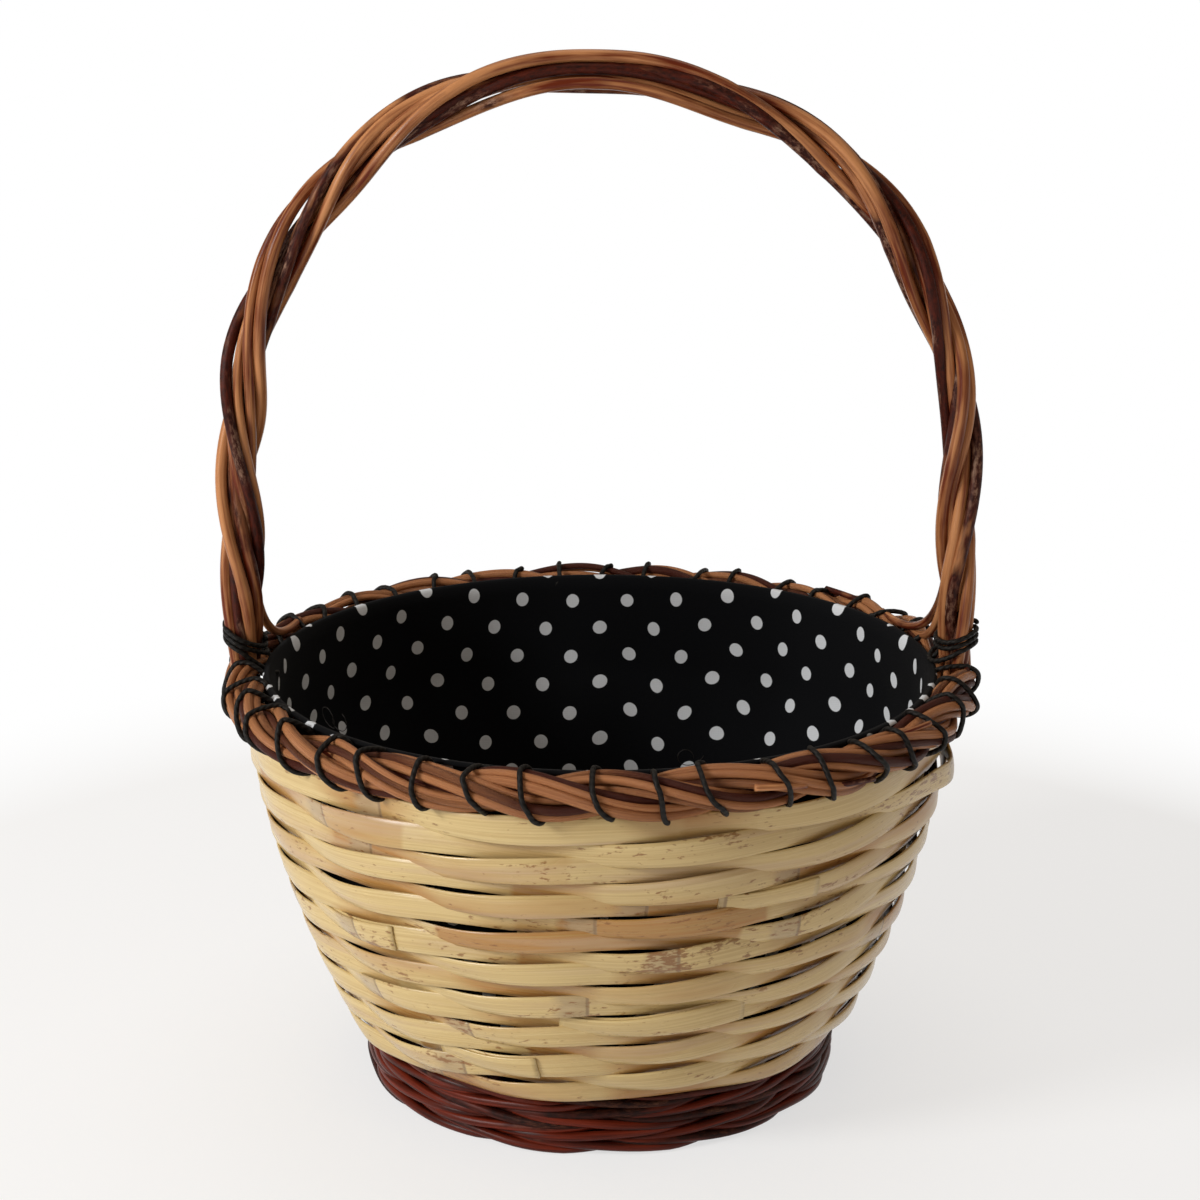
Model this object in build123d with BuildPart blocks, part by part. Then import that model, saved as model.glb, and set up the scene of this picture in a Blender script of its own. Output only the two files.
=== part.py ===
"""Woven market basket: a cane wall on willow stakes, a waled foot, a twisted border and a roped bow.

Millimetres, +Z up, the origin on the floor under the middle of the foot, the bow across X.
The uprights stand at equal angles, the bow's two legs among them. Rods and strips follow straight
runs between the uprights, mitred at each bend, and every weaver passes its uprights by the same
clearance.
"""
import os
from math import atan, atan2, ceil, cos, degrees, hypot, pi, radians, sin, sqrt

from build123d import *

os.makedirs("parts", exist_ok=True)

# ---- driving dimensions ------------------------------------------------------------------------
FOOT_RADIUS = 92.6        # uprights' centre line at the floor
RIM_RADIUS = 150.0        # uprights' centre line in the border
RIM_HEIGHT = 172.6        # middle of the border above the floor
WALL_BULGE = 9.5          # how far the wall bows out from the straight line, foot to border

UPRIGHTS = 14             # stakes plus the two legs of the bow
STAKE_DIA = 5.2           # stakes and bow
FIT = 0.25                # clearance between pieces that bear on each other

CANE_ROWS = 17
CANE_THICKNESS = 1.2
CANE_GAP = 0.75           # between one row and the next, along the wall
RIM_ROOM = 12.4           # from the middle of the border down to the top edge of the cane

FOOT_ROWS = 6
FOOT_ROD_DIA = 4.5
FOOT_ROW_PITCH = FOOT_ROD_DIA + 0.3

BASE_STICK_DIA = 4.5
BASE_WEAVER_DIA = 3.2
BASE_ROUNDS = 3
BASE_FIRST_ROUND = 42.0   # radius of the innermost round
BASE_ROUND_MARGIN = 18.6  # from the outermost round out to the uprights at the floor

RIM_ROD_DIA = 6.4
RIM_CORE_DIA = 6.0
RIM_TURNS = UPRIGHTS // 2  # turns of the twist: half a turn from one upright to the next
ROPE_STEPS = 8            # straight runs in one turn of a twist

HANDLE_ROD_DIA = 6.0
HANDLE_TOP = 424.0        # centre of the bow at its highest point
HANDLE_SPRING = 258.0     # where the straight legs end and the arch begins
HANDLE_TURNS = 2.5        # turns of the twist from one leg up to the top
ARCH_STEPS = 24

LINING_THICKNESS = 1.2
LINING_CLEARANCE = 0.3

CORD_DIA = 2.0
STITCHES = 3 * UPRIGHTS
LASHING_TURNS = 3

BUTT_GAP = 0.6            # where the two ends of one weaver meet

# ---- values that follow from them --------------------------------------------------------------
STEP = 360 / UPRIGHTS                      # degrees from one upright to the next
STAKE_FOOT = 0.5 * FOOT_ROD_DIA            # height of the uprights' lower ends
PAIR_HALF = 0.5 * (RIM_ROD_DIA + FIT) / cos(pi / ROPE_STEPS)   # half the spacing of two paired rods
HANDLE_PAIR_HALF = 0.5 * (HANDLE_ROD_DIA + FIT) / cos(pi / ROPE_STEPS)


def wall_radius(z):
    """Radius of the uprights' centre line at height z: a straight taper plus a shallow bulge."""
    t = z / RIM_HEIGHT
    return FOOT_RADIUS + (RIM_RADIUS - FOOT_RADIUS) * t + 4 * WALL_BULGE * t * (1 - t)


def wall_tilt(z):
    """Angle of the wall from the vertical at height z, in radians, positive where it leans out."""
    t = z / RIM_HEIGHT
    return atan(((RIM_RADIUS - FOOT_RADIUS) + 4 * WALL_BULGE * (1 - 2 * t)) / RIM_HEIGHT)


def polar(radius, angle, z):
    """A point at a radius and an angle in degrees."""
    return (radius * cos(radians(angle)), radius * sin(radians(angle)), z)


def toward(a, b, distance):
    """The point that lies a distance from a, on the way to b."""
    length = sqrt(sum((q - p) ** 2 for p, q in zip(a, b)))
    return tuple(p + (q - p) * distance / length for p, q in zip(a, b))


def butted(points):
    """Opens a closed run of points by BUTT_GAP where its two ends meet."""
    return (
        [toward(points[0], points[1], BUTT_GAP / 2)]
        + points[1:-1]
        + [toward(points[-1], points[-2], BUTT_GAP / 2)]
    )


def weave_swing(z, bearing):
    """How far a weaver stands from the uprights' centre line where it passes one of them.

    bearing is the distance the two must keep, square to both. The wall's tilt and the weaver's
    own slant between uprights both bring them closer, so the swing is larger by those slopes.
    """
    level = bearing / cos(wall_tilt(z))
    reach = wall_radius(z) * sin(radians(STEP / 2))
    drop = wall_radius(z) * (1 - cos(radians(STEP / 2)))
    return level * hypot(1, (level + drop) / reach)


def weave_path(z, row, bearing):
    """One trip round the wall, over one upright and under the next, starting behind an upright."""
    swing = weave_swing(z, bearing)
    first = (4 * row + row % 2) % UPRIGHTS       # an upright that this row passes behind
    if (first + row) % 2:
        first += 1
    points = []
    for k in range(2 * UPRIGHTS + 1):
        side = (-1, 0, 1, 0)[k % 4]
        points.append(polar(wall_radius(z) + side * swing, first * STEP + k * STEP / 2, z))
    return butted(points)


def section_plane(points, up=(0, 0, 1)):
    """The plane across the start of a path, with its X as near to up as it can be."""
    along = (Vector(*points[1]) - Vector(*points[0])).normalized()
    across = Vector(*up) - along * Vector(*up).dot(along)
    return Plane(origin=points[0], x_dir=across, z_dir=along)


def rod(label, points, diameter, sides=6, flat_down=False):
    """A willow rod along straight runs. flat_down gives it a flat side underneath."""
    with BuildPart() as part:
        with BuildLine() as path:
            Polyline(*points)
        with BuildSketch(section_plane(points)):
            RegularPolygon(
                diameter / 2, sides, major_radius=not flat_down,
                rotation=180 / sides if flat_down else 0,
            )
        sweep(path=path.wires()[0], transition=Transition.RIGHT)
    save(part.part, label)


def save(part, label):
    part.label = label
    export_step(part, f"parts/{label}.step")


# ---- foot: six rows of round willow ------------------------------------------------------------
foot_levels = [FOOT_ROD_DIA / 2 + row * FOOT_ROW_PITCH for row in range(FOOT_ROWS)]
FOOT_BEARING = (STAKE_DIA + FOOT_ROD_DIA) / 2 + FIT
for row, z in enumerate(foot_levels):
    rod(
        f"foot_wale_{row + 1}", weave_path(z, row + 1, FOOT_BEARING), FOOT_ROD_DIA,
        sides=8 if row == 0 else 6, flat_down=row == 0,
    )

# ---- wall: rows of flat split cane, leaning with the wall --------------------------------------
CANE_BEARING = (STAKE_DIA + CANE_THICKNESS) / 2 + FIT
cane_start = foot_levels[-1] + FOOT_ROD_DIA / 2 + FIT + CANE_THICKNESS / 4
cane_end = RIM_HEIGHT - RIM_ROOM
slope_length = hypot(cane_end - cane_start, wall_radius(cane_end) - wall_radius(cane_start))
cane_pitch = slope_length / CANE_ROWS
cane_width = cane_pitch - CANE_GAP
cane_levels = []
level = cane_start
for row in range(CANE_ROWS):
    half_way = level + cane_pitch / 2 * cos(wall_tilt(level))
    cane_levels.append(half_way)
    level += cane_pitch * cos(wall_tilt(half_way))

for row, z in enumerate(cane_levels):
    points = weave_path(z, row + FOOT_ROWS + 1, CANE_BEARING)
    tilt = wall_tilt(z)
    outward = Vector(points[0][0], points[0][1], 0).normalized()
    with BuildPart() as weaver:
        with BuildLine() as path:
            Polyline(*points)
        with BuildSketch(section_plane(points, up=outward * sin(tilt) + Vector(0, 0, cos(tilt)))):
            Rectangle(cane_width, CANE_THICKNESS)
        sweep(path=path.wires()[0], transition=Transition.RIGHT)
    save(weaver.part, f"cane_row_{row + 1:02d}")

# ---- stakes: everywhere but at the two legs of the bow -----------------------------------------
WALL_RUNS = 7


def wall_run(angle, top):
    """Points up the wall on an upright's centre line, from its lower end to a height."""
    heights = [STAKE_FOOT + (top - STAKE_FOOT) * k / WALL_RUNS for k in range(WALL_RUNS + 1)]
    return [polar(wall_radius(z), angle, z) for z in heights]


stake_top = RIM_HEIGHT - RIM_CORE_DIA / 2 - FIT
for k in range(UPRIGHTS):
    if k not in (0, UPRIGHTS // 2):
        rod(f"stake_{k:02d}", wall_run(k * STEP, stake_top), STAKE_DIA)

# ---- base: seven sticks opened out to the uprights, and rounds woven on them -------------------
BASE_LANE = BASE_STICK_DIA + 0.3
BASE_BUNDLE_HALF = 2.5 * BASE_LANE         # half the length over which a bundle runs parallel


def arm_level(upright):
    """Height of a base stick's end: the foot row that passes outside that upright."""
    return foot_levels[1] if upright % 2 else foot_levels[2]


def stick_end(upright):
    """The end of a base stick, just short of its upright."""
    z = arm_level(upright)
    short = (STAKE_DIA / 2 + FIT) / cos(wall_tilt(z)) + BASE_STICK_DIA / 2 * sin(wall_tilt(z))
    return polar(wall_radius(z) - short, upright * STEP, z)


def bundle_z(upright):
    """Height at the middle of the base: the two crossed bundles lie one on the other."""
    return foot_levels[1] if upright in (13, 0, 1, 6, 7, 8) else foot_levels[2]


for bundle, middle, lanes in (("lower", 0, (-1, 0, 1)), ("upper", 3.5, (-1.5, -0.5, 0.5, 1.5))):
    for number, lane in enumerate(lanes):
        near, far = int(middle + lane) % UPRIGHTS, int(middle + 7 - lane) % UPRIGHTS
        turn = radians(middle * STEP)
        z = bundle_z(near)
        bends = []
        for end in (1, -1):
            x, y = end * BASE_BUNDLE_HALF, lane * BASE_LANE
            bends.append((x * cos(turn) - y * sin(turn), x * sin(turn) + y * cos(turn), z))
        rod(
            f"base_stick_{bundle}_{number + 1}",
            [stick_end(near), *bends, stick_end(far)], BASE_STICK_DIA,
        )

BASE_SWING = (BASE_STICK_DIA + BASE_WEAVER_DIA) / 2 + 3 * FIT
BASE_LAST_ROUND = FOOT_RADIUS - BASE_ROUND_MARGIN
BASE_ROUND_STEP = (BASE_LAST_ROUND - BASE_FIRST_ROUND) / max(1, BASE_ROUNDS - 1)
for turn in range(BASE_ROUNDS):
    radius = BASE_FIRST_ROUND + turn * BASE_ROUND_STEP
    points = []
    for k in range(UPRIGHTS):
        share = (radius - BASE_BUNDLE_HALF) / (hypot(*stick_end(k)[:2]) - BASE_BUNDLE_HALF)
        arm = bundle_z(k) + (arm_level(k) - bundle_z(k)) * share
        over = 1 if (k + turn) % 2 else -1
        points.append(polar(radius, k * STEP, arm + over * BASE_SWING))
    middle = tuple((a + b) / 2 for a, b in zip(points[0], points[-1]))
    rod(f"base_round_{turn + 1}", butted([middle, *points, middle]), BASE_WEAVER_DIA)

# ---- bow: one rod, up the wall as an upright, over the top and down the other side -------------
bow_rise = HANDLE_TOP - HANDLE_SPRING
arch = []
for k in range(ARCH_STEPS + 1):
    angle = pi * k / ARCH_STEPS
    arch.append((-RIM_RADIUS * cos(angle), 0, HANDLE_SPRING + bow_rise * sin(angle)))
left_leg = wall_run(180, RIM_HEIGHT)
right_leg = wall_run(0, RIM_HEIGHT)
rod("bow", left_leg + arch + right_leg[::-1], STAKE_DIA, sides=8)

# ---- border: a core hoop in two halves, and paired rods twisted round it -----------------------
CORE_STOP = degrees((STAKE_DIA / 2 + FIT + 0.2) / RIM_RADIUS)
for side, start in (("back", 0), ("front", 180)):
    runs = UPRIGHTS * 2
    span = 180 - 2 * CORE_STOP
    points = [
        polar(RIM_RADIUS, start + CORE_STOP + span * k / runs, RIM_HEIGHT) for k in range(runs + 1)
    ]
    rod(f"border_core_{side}", points, RIM_CORE_DIA)

rim_side = STAKE_DIA / 2 + FIT + RIM_ROD_DIA / 2 + 0.3     # rods pass an upright at this distance
rim_twist = hypot(rim_side, PAIR_HALF)
rim_spread = degrees(atan2(PAIR_HALF, rim_side))
RIM_RUNS = RIM_TURNS * ROPE_STEPS
for strand, phase in (("a", 0), ("b", 180)):
    for mate, spread in ((1, -rim_spread), (2, rim_spread)):
        first = STEP / 2 + STEP * (3 * mate + (6 if strand == "b" else 0))
        points = []
        for k in range(RIM_RUNS + 1):
            angle = first + k * 360 / RIM_RUNS
            turn = radians(phase + spread - RIM_TURNS * angle)
            points.append(
                polar(RIM_RADIUS + rim_twist * cos(turn), angle, RIM_HEIGHT + rim_twist * sin(turn))
            )
        rod(f"border_rod_{strand}{mate}", butted(points), RIM_ROD_DIA)

# ---- handle: paired rods roped round the bow, the twist mirrored at the top --------------------
rise = rim_spread + RIM_TURNS * degrees((PAIR_HALF + HANDLE_ROD_DIA / 2) / RIM_RADIUS)
seat = RIM_HEIGHT + rim_twist * sin(radians(rise)) + RIM_ROD_DIA / 2 + FIT   # the rods end here
handle_twist = (STAKE_DIA / 2 + HANDLE_ROD_DIA / 2 + FIT) / cos(pi / ROPE_STEPS)
handle_spread = degrees(atan2(HANDLE_PAIR_HALF, sqrt(handle_twist**2 - HANDLE_PAIR_HALF**2)))
leg_length = HANDLE_SPRING - seat
half_arch = sum(hypot(q[0] - p[0], q[2] - p[2]) for p, q in zip(arch, arch[1:])) / 2
half_length = leg_length + half_arch
half_runs = ceil(HANDLE_TURNS * ROPE_STEPS)


def bow_frame(run):
    """Point on the bow's centre line and its outward direction, run by run from the left leg."""
    side = -1 if run <= half_runs else 1
    up = min(run, 2 * half_runs - run) / half_runs * half_length
    if up <= leg_length:
        return (side * RIM_RADIUS, seat + up), (side, 0)
    angle = (up - leg_length) / half_arch * pi / 2
    point = (side * RIM_RADIUS * cos(angle), HANDLE_SPRING + bow_rise * sin(angle))
    normal = (side * cos(angle) / RIM_RADIUS, sin(angle) / bow_rise)
    size = hypot(*normal)
    return point, (normal[0] / size, normal[1] / size)


for strand, phase in (("a", 0), ("b", 180)):
    for mate, spread in ((1, -handle_spread), (2, handle_spread)):
        points = []
        for run in range(2 * half_runs + 1):
            (x, z), (out_x, out_z) = bow_frame(run)
            turned = min(run, 2 * half_runs - run) * 360 / ROPE_STEPS
            turn = radians(phase + spread + turned)
            out, across = handle_twist * cos(turn), handle_twist * sin(turn)
            points.append((x + out * out_x, across, z + out * out_z))
        rod(f"handle_rod_{strand}{mate}", points, HANDLE_ROD_DIA)

# ---- lining: one closed shell of cotton, wall and floor ----------------------------------------
base_top = foot_levels[2] + BASE_SWING + BASE_WEAVER_DIA / 2
floor_z = base_top + LINING_CLEARANCE
lining_top = cane_end + 0.1


def lining_radius(z, bearing, half):
    """Outside of the lining where the weavers behind it swing in by a bearing and a half size."""
    return wall_radius(z) - weave_swing(z, bearing) - half / cos(wall_tilt(z)) - LINING_CLEARANCE


foot_top = foot_levels[-1] + FOOT_ROD_DIA / 2 + FIT
foot_inside = lining_radius(foot_levels[3], FOOT_BEARING, FOOT_ROD_DIA / 2)
outline = [(foot_inside, floor_z), (foot_inside + 0.45 * (foot_top - floor_z), foot_top)]
LINING_RUNS = 5
for k in range(LINING_RUNS + 1):
    z = foot_top + 4 + (lining_top - foot_top - 4) * k / LINING_RUNS
    outline.append((lining_radius(z, CANE_BEARING, CANE_THICKNESS / 2), z))
with BuildPart() as lining:
    with BuildSketch(Plane.XZ):
        with BuildLine():
            inside = [(r - LINING_THICKNESS, z) for r, z in outline[::-1]]
            inside[-1] = (inside[-1][0], floor_z + LINING_THICKNESS)
            Polyline(
                (0, floor_z), *outline, *inside, (0, floor_z + LINING_THICKNESS), close=True
            )
        make_face()
    revolve(axis=Axis.Z)
save(lining.part, "lining")

# ---- cord: stitches that whip the border, and a lashing on each leg ----------------------------
stitch_apothem = rim_side + RIM_ROD_DIA / 2 + FIT + CORD_DIA / 2
with BuildPart() as stitch:
    with BuildSketch(Plane.XZ):
        with Locations((RIM_RADIUS, RIM_HEIGHT)):
            RegularPolygon(stitch_apothem + CORD_DIA / 2, 6, major_radius=False)
            RegularPolygon(
                stitch_apothem - CORD_DIA / 2, 6, major_radius=False,
                mode=Mode.SUBTRACT,
            )
    extrude(amount=CORD_DIA / 2, both=True)
with BuildPart() as border_stitches:
    with PolarLocations(0, STITCHES, start_angle=180 / STITCHES):
        add(stitch.part)
save(border_stitches.part, "border_stitches")

LASHING_PITCH = CORD_DIA + 0.4
lashing_start = RIM_HEIGHT + stitch_apothem + CORD_DIA + 1.5
lashing_radius = (handle_twist + HANDLE_ROD_DIA / 2 + FIT + CORD_DIA / 2) / cos(pi / 8)
for side, x in (("left", -RIM_RADIUS), ("right", RIM_RADIUS)):
    points = []
    for k in range(8 * LASHING_TURNS + 1):
        angle = radians(45 * k)
        points.append((
            x + lashing_radius * cos(angle), lashing_radius * sin(angle),
            lashing_start + LASHING_PITCH * k / 8,
        ))
    rod(f"lashing_{side}", points, CORD_DIA, sides=4)
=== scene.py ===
"""Woven market basket: cane wall, waled willow foot, roped border and bow, dotted cotton lining."""

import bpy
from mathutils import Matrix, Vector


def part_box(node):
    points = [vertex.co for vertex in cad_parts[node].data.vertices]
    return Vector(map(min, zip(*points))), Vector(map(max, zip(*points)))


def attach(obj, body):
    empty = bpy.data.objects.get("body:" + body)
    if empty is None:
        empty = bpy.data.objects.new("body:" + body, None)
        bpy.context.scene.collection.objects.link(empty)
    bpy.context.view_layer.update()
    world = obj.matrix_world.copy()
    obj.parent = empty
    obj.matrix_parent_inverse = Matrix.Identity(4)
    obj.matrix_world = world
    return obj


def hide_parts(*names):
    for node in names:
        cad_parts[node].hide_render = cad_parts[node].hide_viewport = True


bl_info = {
    "name": "Woven market basket",
    "version": (1, 0, 0),
    "blender": (4, 5, 0),
    "location": "View3D > Sidebar > Basket",
    "description": "Builds a lined market basket of split cane and willow round its CAD frame",
    "category": "Object",
}

from math import cos, radians, sin

import bmesh
import bpy
import numpy as np

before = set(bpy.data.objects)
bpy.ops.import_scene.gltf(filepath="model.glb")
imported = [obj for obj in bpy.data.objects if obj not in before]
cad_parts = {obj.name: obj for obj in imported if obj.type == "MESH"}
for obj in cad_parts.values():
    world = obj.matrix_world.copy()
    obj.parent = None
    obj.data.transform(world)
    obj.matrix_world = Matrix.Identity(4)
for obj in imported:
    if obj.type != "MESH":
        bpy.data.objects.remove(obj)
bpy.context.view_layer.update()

MM = 0.001
TAU = 2 * np.pi
UPRIGHTS = 14
STEP = TAU / UPRIGHTS


# ---- places read from the frame ----
def nodes(*starts):
    """The frame's nodes whose names begin so."""
    return [name for name in sorted(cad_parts) if name.startswith(starts)]


CANE_NODES = nodes("cane_row")
FOOT_NODES = nodes("foot_wale")
STAKE_NODES = nodes("stake")
BASE_NODES = nodes("base_")
BORDER_NODES = nodes("border_core", "border_rod")
HANDLE_NODES = nodes("bow", "handle_rod")
LASHING_NODES = nodes("lashing")

core_low, core_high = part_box("border_core_back")
RIM_Z = (core_low[2] + core_high[2]) / 2
RIM_R = core_high[1] - (core_high[2] - core_low[2]) / 2
bow_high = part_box("bow")[1]
ROD_R = bow_high[1]
BOW_TOP = bow_high[2] - ROD_R
LEG_X = bow_high[0] - ROD_R
stake_low, stake_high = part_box("stake_03")
CANE_Z = [(low[2] + high[2]) / 2 for low, high in map(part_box, CANE_NODES)]
FOOT_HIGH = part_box(FOOT_NODES[-1])[1][2]
LINING_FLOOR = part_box("lining")[0][2]


# ---- what a user would change ----
def srgb(code, alpha=1.0):
    """A hex colour as linear red, green, blue and alpha."""
    values = [int(code[k : k + 2], 16) / 255 for k in (1, 3, 5)]
    linear = [v / 12.92 if v <= 0.04045 else ((v + 0.055) / 1.055) ** 2.4 for v in values]
    return (*linear, alpha)


def length(name, description, millimetres):
    """A setting that is a length."""
    return bpy.props.FloatProperty(
        name=name, description=description, default=millimetres * MM, unit="LENGTH"
    )


def lean_angle(name, description, degrees):
    """A setting that is an angle."""
    return bpy.props.FloatProperty(
        name=name, description=description, default=radians(degrees), subtype="ANGLE"
    )


def tint(name, description, code):
    """A setting that is a colour."""
    return bpy.props.FloatVectorProperty(
        name=name, description=description, subtype="COLOR", size=4, default=srgb(code),
        min=0, max=1,
    )


class WallSettings(bpy.types.PropertyGroup):
    foot_radius: length("Foot radius", "Uprights' centre line at the floor", 92.6)
    bulge: length("Bulge", "How far the wall bows out from a straight taper", 10.1)
    strip_width: length("Strip width", "Width of one split-cane strip", 10.5)
    strip_thickness: length("Strip thickness", "Thickness of one split-cane strip", 1.1)
    shingle: lean_angle("Shingle", "How far a strip's lower edge leans out over the next", 4)
    twist: lean_angle("Twist", "How far a strip turns on itself from upright to upright", 12)
    slant: length("Slant", "How far a strip climbs as it passes before an upright", 1.5)
    stake: length("Stake", "Diameter of a stake", 3.2)
    inset: length("Inset", "How far a stake stands inside the middle of the weave", 3.0)
    foot_line: length("Foot line", "Radius of the uprights within the foot", 96.0)
    swing: length("Swing", "How far a strip stands off the uprights' centre line", 2.7)
    cane: tint("Cane", "Colour of the cane's skin", "#DAC28A")


class RodSettings(bpy.types.PropertyGroup):
    border_rod: length("Border rod", "Diameter of a rod in the border", 3.7)
    handle_rod: length("Handle rod", "Diameter of a rod in the handle", 5.1)
    foot_rod: length("Foot rod", "Diameter of a rod in the foot", 3.9)
    border_turns: bpy.props.IntProperty(
        name="Border turns", description="Turns of the twist round the border", default=8,
    )
    handle_turns: bpy.props.FloatProperty(
        name="Handle turns", description="Turns of the twist from a leg to the top", default=2.35,
    )
    stitches: bpy.props.IntProperty(
        name="Stitches", description="Stitches of cord over the border", default=42,
    )


class LiningSettings(bpy.types.PropertyGroup):
    dot: length("Dot", "Diameter of a dot", 6.6)
    dot_pitch: length("Dot pitch", "Distance between neighbouring dots", 19.5)
    cloth: tint("Cloth", "Colour of the cotton", "#07080B")


# ---- mesh helpers ----
def unit(vectors):
    """Each row divided by its length."""
    return vectors / np.linalg.norm(vectors, axis=-1, keepdims=True)


def ease(share):
    """A share from 0 to 1, eased at both ends."""
    return share * share * (3 - 2 * share)


def turns_of(count):
    """That many even angles round a full turn."""
    return TAU * np.arange(count) / count


def ring_of(sides, radius=1.0):
    """A round profile of that many points."""
    angle = turns_of(sides)
    return radius * np.column_stack([np.cos(angle), np.sin(angle)])


def radial(angle):
    """Unit vectors away from the basket's axis."""
    return np.column_stack([np.cos(angle), np.sin(angle), np.zeros_like(angle)])


def around(angle, radius, z):
    """Points round the basket's axis, at those angles, radii and heights."""
    points = radial(angle) * np.reshape(radius, (-1, 1))
    points[:, 2] = z
    return points


def run_length(points):
    """Length along a path at each of its points."""
    return np.concatenate([[0], np.cumsum(np.linalg.norm(np.diff(points, axis=0), axis=1))])


def closed_length(points):
    """Length along a path at each of its points, and back at its first."""
    return run_length(np.vstack([points, points[:1]]))


def sweep(centres, outward, profile, scale=1.0, closed=False, across=None, tone=0.5, seed=0.0):
    """A closed profile carried along a path.

    Point (i, j) is centre i plus profile j's first value along the outward direction and its
    second along the direction square to that and to the path, both times scale i. The profile
    runs anticlockwise seen against the path. UV is the length along the path and across.
    """
    count, sides = len(centres), profile.shape[-2]
    if closed:
        ahead = unit(np.roll(centres, -1, 0) - np.roll(centres, 1, 0))
    else:
        ahead = unit(np.gradient(centres, axis=0))
    out = unit(outward - np.sum(outward * ahead, axis=1, keepdims=True) * ahead)
    side = np.cross(ahead, out)
    shape = np.broadcast_to(profile, (count, sides, 2))
    points = centres[:, None] + np.broadcast_to(scale, count)[:, None, None] * (
        shape[:, :, :1] * out[:, None] + shape[:, :, 1:] * side[:, None]
    )
    i = np.arange(count if closed else count - 1)[:, None]
    j = np.arange(sides)[None, :]
    after, beside = (i + 1) % count, (j + 1) % sides
    quads = np.stack(
        [i * sides + j, i * sides + beside, after * sides + beside, after * sides + j], axis=-1
    ).reshape(-1, 4)
    along = closed_length(centres)
    if across is None:
        across = closed_length(shape[0])
    start, end = along[i + 0 * j], along[i + 1 + 0 * j]
    near, far = across[j + 0 * i], across[j + 1 + 0 * i]
    uv = np.stack([start, near, start, far, end, far, end, near], axis=-1).reshape(-1, 2)
    caps = []
    if not closed:
        caps = [list(range(sides))[::-1], [(count - 1) * sides + k for k in range(sides)]]
        uv = np.vstack([uv, 0.3 * shape[0][::-1], 0.3 * shape[0]])
    return {
        "points": points.reshape(-1, 3), "quads": quads, "caps": caps, "uv": uv,
        "tone": np.repeat(np.broadcast_to(tone, count), sides), "seed": seed,
    }


def hoop(angle, radius, z, sides, girth, **looks):
    """A round rod laid in a closed ring about the basket's axis."""
    return sweep(
        around(angle, radius, z), radial(angle), ring_of(sides, girth), closed=True, **looks
    )


def build_piece(name, parts, material):
    """One mesh object of all the parts, with their UV map, tone and seed."""
    points, faces, uvs, tones, seeds, start = [], [], [], [], [], 0
    for part in parts:
        points.append(part["points"])
        faces += (part["quads"] + start).tolist()
        faces += [[k + start for k in cap] for cap in part["caps"]]
        uvs.append(part["uv"])
        tones.append(np.broadcast_to(part["tone"], len(part["points"])))
        seeds.append(np.full(len(part["points"]), part["seed"]))
        start += len(part["points"])
    mesh = bpy.data.meshes.new(name)
    mesh.from_pydata(np.vstack(points), [], faces)
    layer = mesh.uv_layers.new(name="lay")
    layer.data.foreach_set("uv", np.vstack(uvs).astype(np.float32).ravel())
    for label, values in (("tone", tones), ("seed", seeds)):
        attribute = mesh.attributes.new(label, "FLOAT", "POINT")
        attribute.data.foreach_set("value", np.concatenate(values).astype(np.float32))
    mesh.shade_smooth()
    mesh.materials.append(material)
    mesh.update()
    piece = bpy.data.objects.new(name, mesh)
    bpy.context.scene.collection.objects.link(piece)
    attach(piece, "root")
    return piece


def wave(angle, rng, low, high, size):
    """A smooth closed wobble: sines of whole-number rates with random sizes and phases."""
    total = np.zeros_like(angle)
    for rate in range(low, high + 1):
        total += rng.uniform(-1, 1) * np.sin(rate * angle + rng.uniform(0, TAU))
    return size * total / np.sqrt(high - low + 1)


def drift(length, rng, size, spacing=0.05):
    """A smooth open wobble along a length in metres, eased between random heights."""
    knots = np.arange(-spacing, length[-1] + 3 * spacing, spacing)
    heights = rng.uniform(-1, 1, len(knots))
    place = (length + spacing) / spacing
    k = np.clip(place.astype(int), 0, len(knots) - 2)
    share = ease(place - k)
    return size * (heights[k] * (1 - share) + heights[k + 1] * share)


def rod_girth(length, rng, taper=0.0, buds=0.09):
    """A rod's thickness along it: a taper, a slow wobble and a low swelling at each old bud."""
    girth = 1 + drift(length, rng, 0.05, 0.03) - taper * (length / length[-1] - 0.5)
    bud_reach = 3.5 * MM
    spot = buds * rng.uniform(0.2, 1)
    while spot < length[-1]:
        girth += rng.uniform(0.03, 0.1) * np.exp(-(((length - spot) / bud_reach) ** 2))
        spot += buds * rng.uniform(0.6, 1.5)
    return girth


def wall_radius(z, settings):
    """Radius of the uprights' centre line: a straight taper plus a shallow parabolic bulge."""
    t = z / RIM_Z
    taper = settings.foot_radius + (RIM_R - settings.foot_radius) * t
    return taper + 4 * settings.bulge * t * (1 - t)


def wall_tilt(z, settings):
    """The wall's lean from the vertical, in radians."""
    rise = (RIM_R - settings.foot_radius) + 4 * settings.bulge * (1 - 2 * (z / RIM_Z))
    return np.arctan(rise / RIM_Z)


def upright_radius(z, settings):
    """Radius of an upright: plumb within the foot, then out to the wall over 10 mm."""
    share = ease(np.clip((z - FOOT_HIGH + 3 * MM) / (10 * MM), 0, 1))
    return settings.foot_line * (1 - share) + (wall_radius(z, settings) - settings.inset) * share


def upright(angle, z, settings):
    """An upright's centre line and its outward directions."""
    angle = np.full_like(z, angle)
    return around(angle, upright_radius(z, settings), z), radial(angle)


# ---- materials ----
def set_sockets(tree, node, inputs):
    """Sets a node's sockets, or links those whose value is a socket."""
    for socket, value in inputs.items():
        if isinstance(value, bpy.types.NodeSocket):
            tree.links.new(value, node.inputs[socket])
        else:
            node.inputs[socket].default_value = value


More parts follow.
